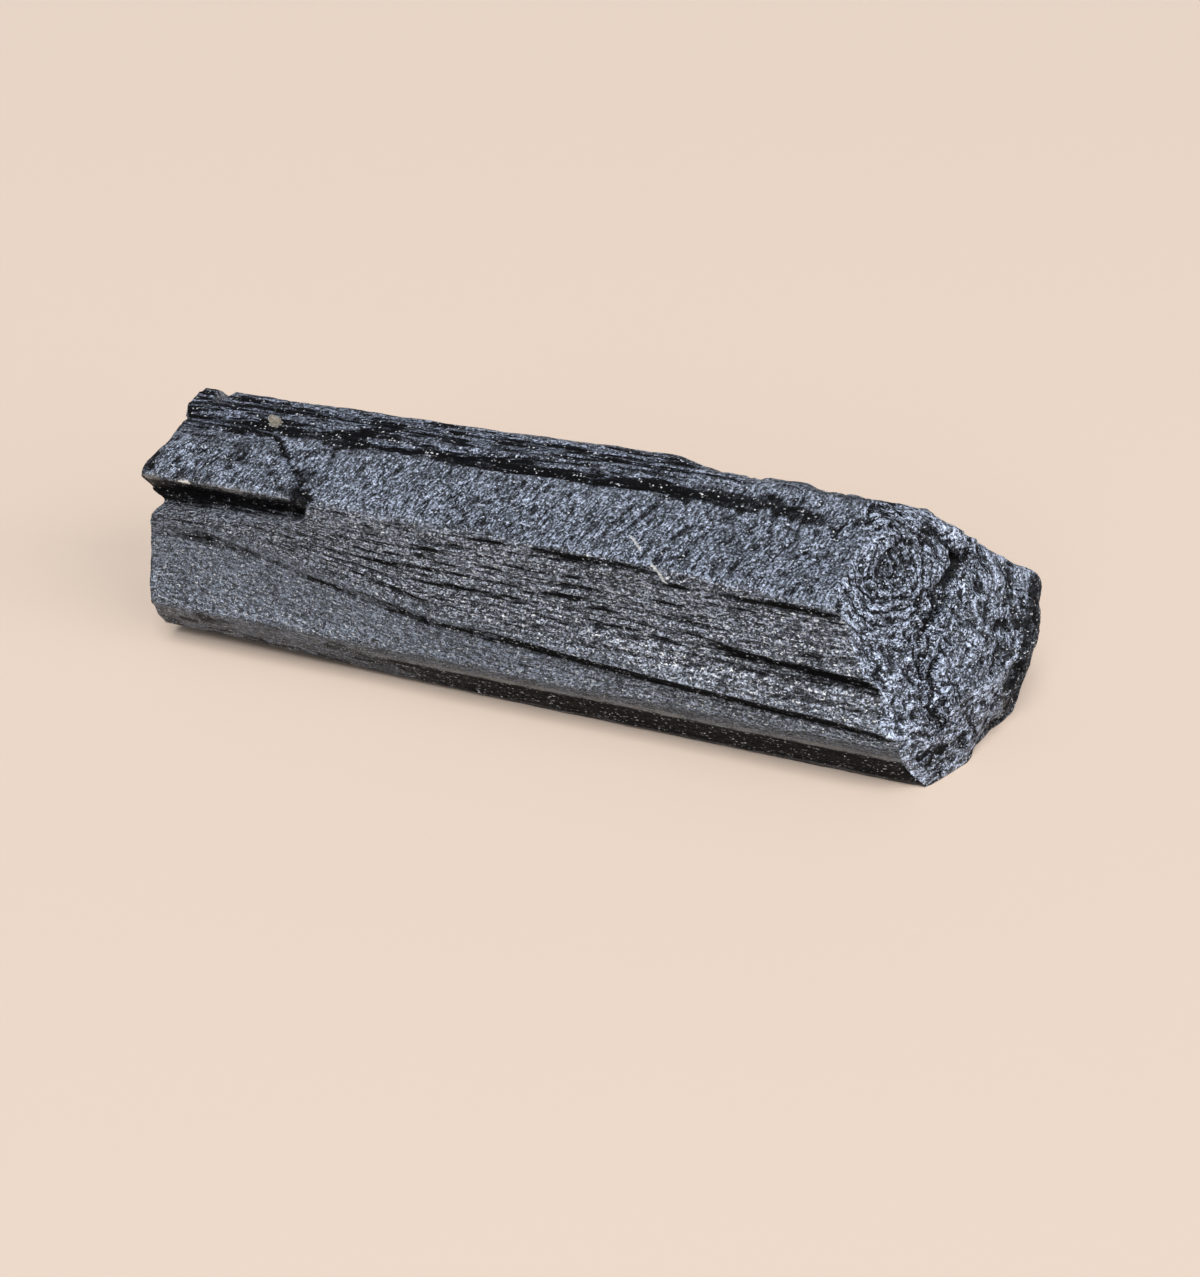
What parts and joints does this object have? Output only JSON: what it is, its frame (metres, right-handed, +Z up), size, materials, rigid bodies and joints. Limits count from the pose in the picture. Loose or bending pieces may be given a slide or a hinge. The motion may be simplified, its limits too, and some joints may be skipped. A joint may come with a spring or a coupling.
{
  "type": "tourmaline crystal",
  "caption": "Broken prism of black tourmaline lying on a long face, with striated faces, growth steps, a ledge over a notch and a rough oblique break at one end.",
  "frame": {"origin": "middle of the crystal's bounding box, at the level of the surface it rests on", "axes": "+X along the crystal, from its square broken end to its oblique broken end; +Y from the stepped front face to the back; +Z up"},
  "size_m": [0.1048, 0.027, 0.0272],
  "materials": {
    "black_tourmaline": "satin, dark blue-grey rough stone"
  },
  "bodies": {
    "root": {"crystal": "black_tourmaline"}
  },
  "joints": []
}
